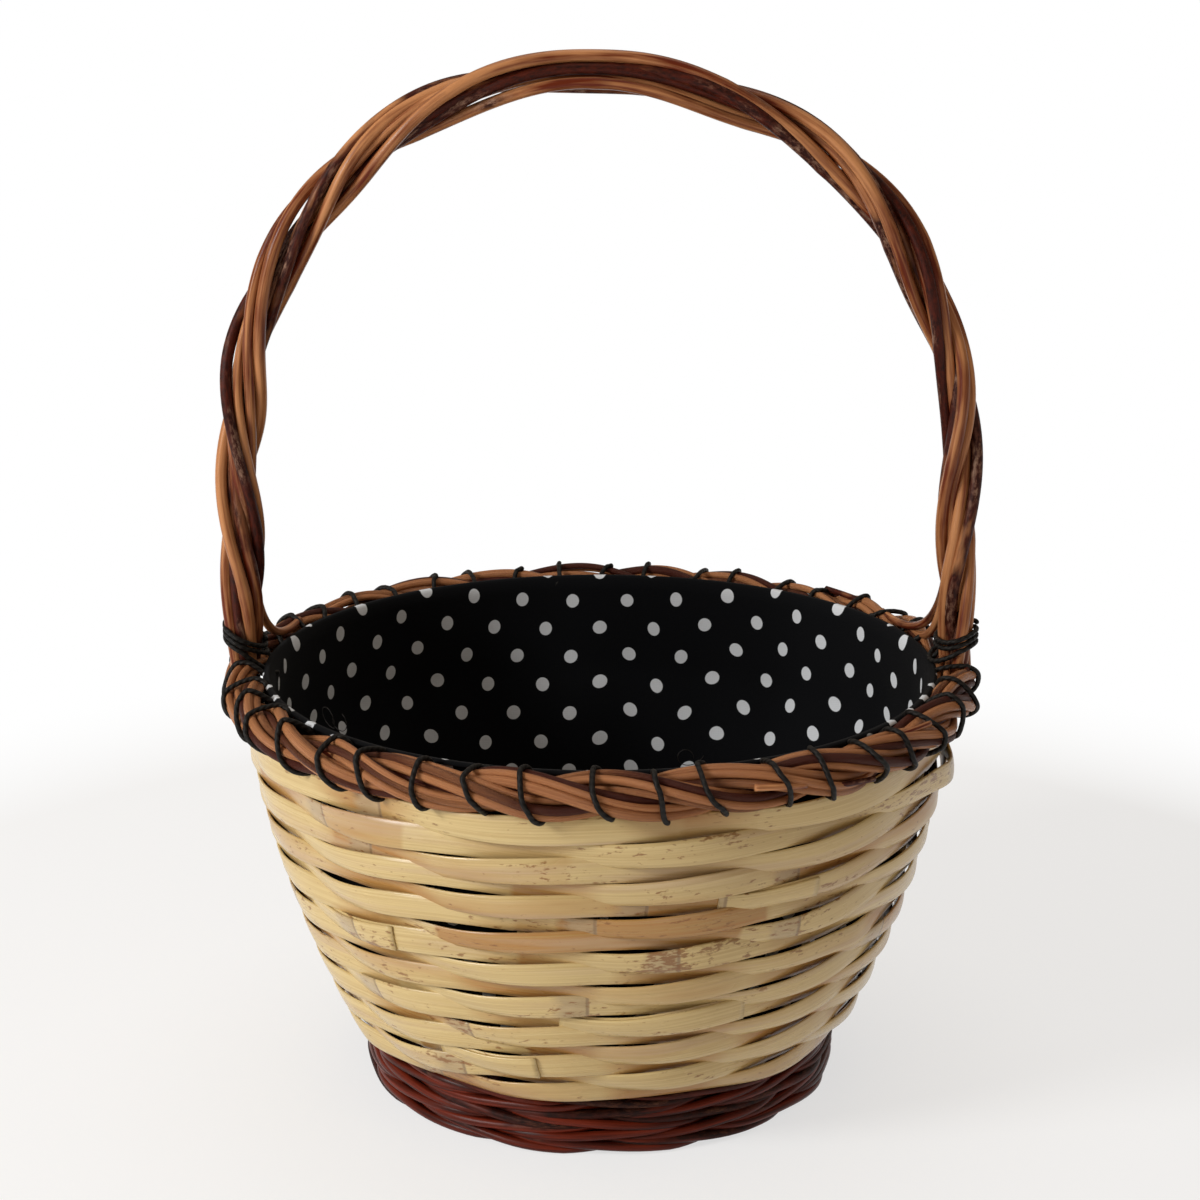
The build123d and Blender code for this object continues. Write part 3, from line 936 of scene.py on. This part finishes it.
class BASKET_OT_border(bpy.types.Operator):
    """Twists three strands of five rods round the border"""

    bl_idname = "basket.border"
    bl_label = "Border"

    tones = (0.1, 0.7, 0.3, 0.0, 0.9, 0.2, 0.45, 0.05, 0.8, 0.3, 0.15, 0.6, 0.0, 0.35, 0.95)
    cut_ends = 12
    end_reach = 10 * MM      # half a cut end's length
    end_hold = 7.9 * MM      # its distance from the border's middle
    core = 2.6 * MM          # the core's radius

    def execute(self, context):
        rods = context.scene.basket_rods
        rng = np.random.default_rng(48)
        angle = turns_of(420)
        parts = []
        for outward, upward, girth, tone in zip(*BorderLay(rods).at(angle), self.tones):
            tone = tone + wave(angle, rng, 1, 8, 0.3)
            parts.append(hoop(
                angle, RIM_R + outward, RIM_Z + upward, 10, 1, scale=girth, tone=tone,
                seed=rng.uniform(),
            ))
        # cut ends of rods, standing a little off the twist
        for _ in range(self.cut_ends):
            along = np.linspace(-10, 10, 14) * MM
            place = rng.uniform(0, TAU) + along / RIM_R
            turn = rng.uniform(radians(-70), radians(70)) - 12 * along * rng.uniform(0.4, 1.4)
            hold = self.end_hold + rng.uniform(0, 0.08) * (along + self.end_reach)
            centres = around(place, RIM_R + hold * np.cos(turn), RIM_Z + hold * np.sin(turn))
            parts.append(sweep(
                centres, radial(place), ring_of(8, rng.uniform(1.0, 1.5) * MM),
                tone=rng.uniform(0, 0.9), seed=rng.uniform(),
            ))
        parts.append(hoop(angle, RIM_R, RIM_Z, 10, self.core, tone=1.0, seed=0.3))
        piece = build_piece("border", parts, border_willow())
        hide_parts(*BORDER_NODES)
        return {"FINISHED"}


class BASKET_OT_stitches(bpy.types.Operator):
    """Whips the border with waxed cord and lashes the handle's legs"""

    bl_idname = "basket.stitches"
    bl_label = "Cord"

    cord = 1.08 * MM         # the cord's radius
    leg_hold = 8.4 * MM      # from a leg's middle to the cord round it
    turn_drop = 2.6 * MM     # how far each turn round a leg lies below the one before
    leans = {-1: 0.5, 1: -0.35}    # the slope of the turns on the left leg and on the right
    # curls of loose sewing thread on the lining's edge: degree round the basket, radius in mm
    curls = ((219, 5.0), (222, 3.2), (283, 4.2))
    thread = 0.16 * MM

    loop_points = 36
    pull = 0.75              # where the cord's middle lies off the rods, in its own radii

    def loop(self, lay, rng, where, slant):
        """One stitch, pulled tight: it follows the convex hull of the rods it passes round.

        The hull comes from its support function, which at each direction is the largest reach of
        any rod. The stitch leans along the rim by the slant from inside to outside.
        """
        t = turns_of(self.loop_points)
        place = where - (slant * np.sin(t + radians(20)) + wave(t, rng, 1, 3, 0.3 * MM)) / RIM_R
        outward, upward, girth = lay.at(place)
        support = (outward * np.cos(t) + upward * np.sin(t) + girth).max(axis=0)
        support = support + self.pull * self.cord
        for _ in range(2):
            support = (np.roll(support, 1) + 2 * support + np.roll(support, -1)) / 4
        change = (np.roll(support, -1) - np.roll(support, 1)) / (2 * TAU / len(t))
        centres = around(
            place, RIM_R + support * np.cos(t) - change * np.sin(t),
            RIM_Z + support * np.sin(t) + change * np.cos(t),
        )
        out = around(place, np.cos(t), np.sin(t))
        return sweep(centres, out, ring_of(8, self.cord), closed=True, seed=rng.uniform())

    def curl(self, degree, size):
        """A loose end of sewing thread: a small open curl on the lining's edge."""
        t = np.linspace(0, 1, 40)
        spin = TAU * 0.9 * t + degree
        place = np.full_like(t, radians(degree)) + 0.03 * t
        centres = radial(place) * (RIM_R - 11.5 * MM + 0.8 * MM * np.sin(spin))[:, None]
        centres += radial(place + np.pi / 2) * (size * MM * np.cos(spin))[:, None]
        centres[:, 2] = RIM_Z + 8.5 * MM + size * MM * np.sin(spin) + 3 * MM * t
        return sweep(centres, radial(place), ring_of(5, self.thread), tone=0.0, seed=0.5)

    def lashing(self, low, high, rng):
        """Two turns round a leg and a third, longer one that slants down over the border."""
        side = -1 if high[0] < 0 else 1
        t = np.linspace(0, 3 * TAU, 150)
        third = np.clip(t / TAU - 1.9, 0, 1)
        inner = np.maximum(0, -side * np.cos(t)) * third
        hold = self.leg_hold + 0.4 * MM * np.sin(3 * t + 1)
        lean = self.leans[side]
        x = hold * np.cos(t) * (1 + 0.55 * inner)
        z = (low[2] + high[2]) / 2 - self.turn_drop * (t / TAU - 1.2)
        z -= lean * x + 4.5 * MM * inner
        middle = side * (LEG_X + 0.8 * MM)
        centres = np.column_stack([middle + x, 1.2 * hold * np.sin(t), z])
        out = np.column_stack([np.cos(t), np.sin(t), -lean * np.cos(t)])
        return sweep(centres, out, ring_of(8, self.cord), seed=rng.uniform())

    def execute(self, context):
        rods = context.scene.basket_rods
        rng = np.random.default_rng(59)
        material = waxed_cord("waxed_cord")
        lay = BorderLay(rods)
        parts = []
        for k in range(rods.stitches):
            where = TAU * (k + 0.5) / rods.stitches + rng.uniform(-1, 1) * radians(1.2)
            parts.append(self.loop(lay, rng, where, rng.uniform(1.5, 5.5) * MM))
        parts += [self.curl(degree, size) for degree, size in self.curls]
        piece = build_piece("border_cord", parts, material)
        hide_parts("border_stitches")
        for name in LASHING_NODES:
            lashing = build_piece("cord_" + name, [self.lashing(*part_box(name), rng)], material)
            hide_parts(name)
        return {"FINISHED"}


# ---- handle ----
def bow_line(count, spring, low):
    """The bow above the border: straight legs, then half an ellipse with full shoulders, whose
    top leans 4 mm to the left. Points, outward, distance from the nearer leg's foot and along."""
    fuller = 0.92  # the ellipse's power, under 1 for full shoulders
    angle = np.linspace(0, np.pi, 720)
    x = -LEG_X * np.sign(np.cos(angle)) * np.abs(np.cos(angle)) ** fuller
    x -= 4 * MM * np.sin(angle) ** 3
    arch = np.column_stack([x, spring + (BOW_TOP - spring) * np.sin(angle) ** fuller])
    line = np.vstack([[-LEG_X, low], arch, [LEG_X, low]])
    length = run_length(line)
    even = np.linspace(0, length[-1], count)
    x = np.interp(even, length, line[:, 0])
    z = np.interp(even, length, line[:, 1])
    ahead = unit(np.gradient(np.column_stack([x, z]), axis=0))
    out = np.column_stack([-ahead[:, 1], np.zeros(count), ahead[:, 0]])
    points = np.column_stack([x, np.zeros(count), z])
    return points, out, np.minimum(even, length[-1] - even), even


class BASKET_OT_handle(bpy.types.Operator):
    """Ropes three strands of rods into the fixed handle, and runs its legs down the wall"""

    bl_idname = "basket.handle"
    bl_label = "Handle"

    tones = (0.05, 0.72, 0.3, 0.5, 0.0, 0.6, 0.85, 0.15, 0.36)
    points_along = 260
    arch_height = 166.5 * MM
    sunk = 10 * MM            # how far the legs' rods run down past the border's middle
    strand_offset = 4.6 * MM
    mate_offset = 2.9 * MM    # a rod's offset within its strand
    drawn_in = 0.3            # how much closer the rods lie in the legs
    leg_lean = 1.6 * MM       # how far the legs lean out
    joining = 2.1 * MM        # radius of the rods that join the border

    def execute(self, context):
        rods = context.scene.basket_rods
        wall = context.scene.basket_wall
        rng = np.random.default_rng(71)
        profile = ring_of(12, rods.handle_rod / 2)
        points, out, inward, even = bow_line(
            self.points_along, BOW_TOP - self.arch_height, RIM_Z - self.sunk
        )
        left = even / even[-1]
        # the twist climbs from either leg and eases over at the top
        climb = 1 - np.sqrt((1 - inward / inward.max()) ** 2 + 0.02)
        side = np.tile([0.0, 1.0, 0.0], (self.points_along, 1))
        parts = []
        # the rods draw together above the border, lean out and run down into it
        low = ease(np.clip((60 * MM - inward) / (50 * MM), 0, 1))
        for strand in range(3):
            sway = drift(even, rng, radians(26), 0.11)
            for rod in range(3):
                turn = TAU * (rods.handle_turns * climb + strand / 3) + sway
                turn = turn + drift(even, rng, radians(10), 0.07)
                lay = TAU * (rod / 3 + 0.8 * left + strand * 0.13)
                lay = lay + drift(even, rng, radians(34), 0.08)
                offset = self.strand_offset + drift(even, rng, 1.0 * MM, 0.06)
                nest = self.mate_offset + drift(even, rng, 0.8 * MM, 0.05)
                across = offset * np.cos(turn) + nest * np.cos(0.45 * turn + lay)
                beside = offset * np.sin(turn) + nest * np.sin(0.45 * turn + lay)
                across = across * (1 - self.drawn_in * low) + self.leg_lean * low
                centres = points + across[:, None] * out + beside[:, None] * side
                girth = rod_girth(even, rng, rng.uniform(-0.3, 0.3)) * rng.uniform(0.8, 1.12)
                parts.append(sweep(
                    centres, out, profile, scale=girth, tone=self.tones[strand * 3 + rod],
                    seed=rng.uniform(),
                ))
        # rods that leave a leg in a curve and join the border: side, degrees towards the back
        for side_x, back in ((1, 30), (1, 21), (-1, 24)):
            t = np.linspace(0, 1, 40)[:, None]
            from_leg = np.array([side_x * (LEG_X - 3 * MM), 5 * MM, RIM_Z + 46 * MM])
            elbow = np.array([side_x * (LEG_X - 5 * MM), (back - 12) * MM, RIM_Z + 4 * MM])
            into = np.array([
                side_x * (RIM_R - 2 * MM) * cos(radians(back)), RIM_R * sin(radians(back)),
                RIM_Z + 7.5 * MM,
            ])
            centres = (1 - t) ** 2 * from_leg + 2 * t * (1 - t) * elbow + t**2 * into
            over = np.tile([-side_x, 0.0, 1.0], (len(t), 1))
            parts.append(sweep(
                centres, over, ring_of(10, self.joining), tone=rng.uniform(-0.1, 0.6),
                scale=1 - 0.2 * t[:, 0], seed=rng.uniform(),
            ))
        z = np.linspace(stake_low[2], RIM_Z, 40)
        for angle in (0.0, np.pi):
            centres, out = upright(angle, z, wall)
            parts.append(sweep(centres, out, ring_of(12, wall.stake / 2), tone=0.8, seed=angle))
        piece = build_piece("handle", parts, handle_willow())
        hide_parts(*HANDLE_NODES)
        return {"FINISHED"}


# ---- lining ----
class BASKET_OT_lining(bpy.types.Operator):
    """Sews the cotton lining: a cone-cut wall and a round floor"""

    bl_idname = "basket.lining"
    bl_label = "Lining"

    points_round = 300
    floor_points = 14         # from the middle of the floor to its edge
    wall_points = 38
    cloth = 0.7 * MM          # thickness
    roll = 11.5 * MM          # from the border's middle to the cloth rolled over it
    clear = 1.2 * MM          # from the stakes' inner side to the cloth
    flare = 1.6               # how steeply the cloth leaves the foot
    slack, depth = 0.7 * MM, 1.25 * MM    # the folds' place and half their depth
    pulled = 3.6 * MM, 3.2 * MM    # how far dots are drawn out of line: round, and up or down
    fold_rates = (5, 7, 9, 11, 14, 17, 23)

    def profile(self, wall, foot, floor_z):
        """Radii and heights from the middle of the floor up the wall and over the border."""
        z = np.linspace(floor_z + 5 * MM, RIM_Z - 1 * MM, self.wall_points)
        up = wall_radius(z, wall) - wall.inset - wall.stake / 2 - self.clear
        up = np.minimum(up, foot + np.maximum(0, z - FOOT_HIGH - 0.5 * MM) * self.flare)
        up = np.minimum(up, RIM_R - self.roll)
        # over the border's inner face, then tucked in between the rods
        turn = np.pi - np.linspace(radians(4), radians(33), 8)
        tuck = np.array([[-8.6, 6.3], [-7.8, 5.4]]) * MM
        inside = np.linspace(0, foot - 3 * MM, self.floor_points)
        r = [inside, [foot - 1 * MM], up, RIM_R + self.roll * np.cos(turn), RIM_R + tuck[:, 0]]
        h = [
            np.full(self.floor_points, floor_z), [floor_z + 1 * MM], z,
            RIM_Z + self.roll * np.sin(turn), RIM_Z + tuck[:, 1],
        ]
        return np.concatenate(r), np.concatenate(h)

    def execute(self, context):
        wall = context.scene.basket_wall
        lining = context.scene.basket_lining
        rng = np.random.default_rng(83)
        floor_z = LINING_FLOOR + 0.2 * MM
        top_z = RIM_Z - 2 * MM
        foot = wall.foot_line - 9.0 * MM
        count = self.points_round
        angle = TAU * np.arange(count + 1) / count - np.pi / 2
        r, h = self.profile(wall, foot, floor_z)
        seam = self.floor_points
        low, high = seam + 1, seam + 31
        slope = (r[high] - r[low]) / np.hypot(r[high] - r[low], h[high] - h[low])
        share = np.clip((h - floor_z - 3 * MM) / (30 * MM), 0, 1)
        folds = np.zeros(count + 1)
        for rate in self.fold_rates:
            folds += rng.uniform(0.3, 1) * np.sin(rate * angle + rng.uniform(0, TAU))
        folds = np.clip(folds / 3.2, -1, 1)
        belly = np.sin(np.pi * np.clip((h - floor_z) / (top_z - floor_z), 0, 1)) ** 0.7
        # the cloth lies against the stakes in places and hangs in soft folds between them
        loose = self.slack - (1 + folds) * self.depth
        reach = r + loose[:, None] * (share * belly)[None]
        turned = np.broadcast_to(angle[:, None], reach.shape)
        ring = np.stack([reach * np.cos(turned), reach * np.sin(turned)], axis=-1)
        inner = np.dstack([ring, np.broadcast_to(h, reach.shape)])
        # the cloth's own plane: the floor as it is, the wall as the cone it was cut from
        along = run_length(np.column_stack([r, h]))
        apex = along - along[seam] + foot / slope
        gather = wave(angle, rng, 3, 19, self.pulled[0])[:, None] * share[None]
        swing = (turned - np.pi / 2) * slope + gather / apex[None]
        drawn = wave(angle, rng, 3, 19, self.pulled[1])[:, None] * (share * belly)[None]
        drawn = apex[None] + drawn
        wall_uv = np.stack([-drawn * np.sin(swing), drawn * np.cos(swing)], axis=-1)
        uv = np.where((np.arange(len(r)) < seam)[None, :, None], ring, wall_uv)
        rows = len(r)
        i = np.arange(count)[:, None]
        j = np.arange(rows - 1)[None]
        corners = ((i, j), (i + 1, j), (i + 1, j + 1), (i, j + 1))
        part = {
            "points": inner[:count].reshape(-1, 3), "caps": [], "tone": 0.5, "seed": 0.5,
            "quads": np.stack([(a % count) * rows + b for a, b in corners], -1).reshape(-1, 4),
            "uv": np.stack([uv[a, b] for a, b in corners], axis=2).reshape(-1, 2),
        }
        material = dotted_cotton("dotted_cotton", tuple(lining.cloth), lining.dot, lining.dot_pitch)
        piece = build_piece("cotton_lining", [part], material)
        shell = bmesh.new()
        shell.from_mesh(piece.data)
        bmesh.ops.remove_doubles(shell, verts=shell.verts, dist=1e-6)
        shell.to_mesh(piece.data)
        shell.free()
        thick = piece.modifiers.new("Cloth", "SOLIDIFY")
        thick.thickness = self.cloth
        thick.offset = -1
        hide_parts("lining")
        return {"FINISHED"}


# ---- stage ----
class BASKET_OT_stage(bpy.types.Operator):
    """Sets the pale floor, the soft lights and the camera"""

    bl_idname = "basket.stage"
    bl_label = "Stage"

    # name, place, diameter and power in watts
    lamps = (
        ("key", (-1.85, -1.1, 1.2), 0.7, 34),
        ("side", (-1.5, -1.45, 0.3), 0.45, 2.5),
        ("top", (0.1, 0.5, 2.2), 1.6, 9),
    )
    lit_at = (0, 0, 0.2)
    tilt, distance, aim = radians(15.6), 1.0717, 0.2063    # the camera's, aim being a height
    sensor, lens = 36, 76.1
    fade = 0.16, 0.6       # metres from the basket's middle over which the floor turns white
    least_fade = 0.66

    def lamp(self, name, where, size, power):
        data = bpy.data.lights.new(name, "AREA")
        data.shape = "DISK"
        data.size = size
        data.energy = power
        lamp = bpy.data.objects.new(name, data)
        lamp.location = where
        away = np.array(where) - np.array(self.lit_at)
        lamp.rotation_euler = (
            np.arccos(away[2] / np.linalg.norm(away)), 0, np.arctan2(away[1], away[0]) + np.pi / 2
        )
        bpy.context.scene.collection.objects.link(lamp)

    def floor(self, scene):
        """White paper that fades into an even white beyond the shadow, as seen and as mirrored."""
        mesh = bpy.data.meshes.new("floor")
        corners = [(-30, -6, 0), (30, -6, 0), (30, 60, 0), (-30, 60, 0)]
        mesh.from_pydata(corners, [], [(0, 1, 2, 3)])
        material, tree, shader = new_material("paper_floor")
        place = add_node(tree, "TexCoord").outputs["Object"]
        away = add_node(tree, "VectorMath", {0: place}, operation="LENGTH").outputs["Value"]
        far = add_node(
            tree, "MapRange", {0: away, 1: self.fade[0], 2: self.fade[1]},
            interpolation_type="SMOOTHSTEP",
        ).outputs[0]
        path = add_node(tree, "LightPath").outputs
        seen = add_node(
            tree, "Math", {0: path["Is Camera Ray"], 1: path["Is Glossy Ray"]},
            operation="MAXIMUM",
        ).outputs[0]
        held = add_node(tree, "Math", {0: far, 1: self.least_fade}, operation="MAXIMUM").outputs[0]
        share = add_node(tree, "Math", {0: held, 1: seen}, operation="MULTIPLY").outputs[0]
        set_sockets(tree, shader, {
            "Base Color": srgb("#FAFAFA"), "Roughness": 0.9, "Specular IOR Level": 0.1,
        })
        white = add_node(tree, "Emission", {"Color": (1, 1, 1, 1), "Strength": 1.0})
        mixed = add_node(
            tree, "MixShader", {0: share, 1: shader.outputs[0], 2: white.outputs[0]}
        )
        set_sockets(tree, tree.nodes["Material Output"], {"Surface": mixed.outputs[0]})
        mesh.materials.append(material)
        floor = bpy.data.objects.new("floor", mesh)
        scene.collection.objects.link(floor)

    def execute(self, context):
        scene = context.scene
        self.floor(scene)

        world = bpy.data.worlds.new("studio")
        scene.world = world
        world.use_nodes = True
        tree = world.node_tree
        # a warm room lights the part, and what the camera sees past it is plain white
        seen = add_node(tree, "LightPath").outputs["Is Camera Ray"]
        room = add_node(
            tree, "Mix", {0: seen, 6: srgb("#FFEEDA"), 7: (1, 1, 1, 1)}, data_type="RGBA"
        ).outputs[2]
        level = add_node(tree, "MapRange", {0: seen, 3: 0.31, 4: 1.0}).outputs[0]
        set_sockets(tree, tree.nodes["Background"], {"Color": room, "Strength": level})

        for name, where, size, power in self.lamps:
            self.lamp(name, where, size, power)

        camera = bpy.data.cameras.new("camera")
        camera.sensor_width = self.sensor
        camera.lens = self.lens
        camera.clip_end = 20
        view = bpy.data.objects.new("camera", camera)
        back, up = self.distance * cos(self.tilt), self.distance * sin(self.tilt)
        view.location = (0, -back, self.aim + up)
        view.rotation_euler = (radians(90) - self.tilt, 0, 0)
        scene.collection.objects.link(view)
        scene.camera = view
        scene.view_settings.view_transform = "Standard"
        return {"FINISHED"}


class BASKET_PT_panel(bpy.types.Panel):
    bl_label = "Market basket"
    bl_space_type = "VIEW_3D"
    bl_region_type = "UI"
    bl_category = "Basket"

    def draw(self, context):
        layout = self.layout
        for group in (
            context.scene.basket_wall, context.scene.basket_rods, context.scene.basket_lining
        ):
            for name in group.bl_rna.properties.keys():
                if name not in {"rna_type", "name"}:
                    layout.prop(group, name)
        for step in STEPS:
            layout.operator(step.bl_idname)


STEPS = (
    BASKET_OT_cane, BASKET_OT_stakes, BASKET_OT_foot, BASKET_OT_base, BASKET_OT_border,
    BASKET_OT_stitches, BASKET_OT_handle, BASKET_OT_lining, BASKET_OT_stage,
)
GROUPS = (WallSettings, RodSettings, LiningSettings)


def register():
    for item in (*GROUPS, *STEPS, BASKET_PT_panel):
        bpy.utils.register_class(item)
    bpy.types.Scene.basket_wall = bpy.props.PointerProperty(type=WallSettings)
    bpy.types.Scene.basket_rods = bpy.props.PointerProperty(type=RodSettings)
    bpy.types.Scene.basket_lining = bpy.props.PointerProperty(type=LiningSettings)


def unregister():
    del bpy.types.Scene.basket_lining
    del bpy.types.Scene.basket_rods
    del bpy.types.Scene.basket_wall
    for item in reversed((*GROUPS, *STEPS, BASKET_PT_panel)):
        bpy.utils.unregister_class(item)


def main():
    register()
    for step in STEPS:
        group, name = step.bl_idname.split(".")
        getattr(getattr(bpy.ops, group), name)()


if __name__ == "__main__":
    main()
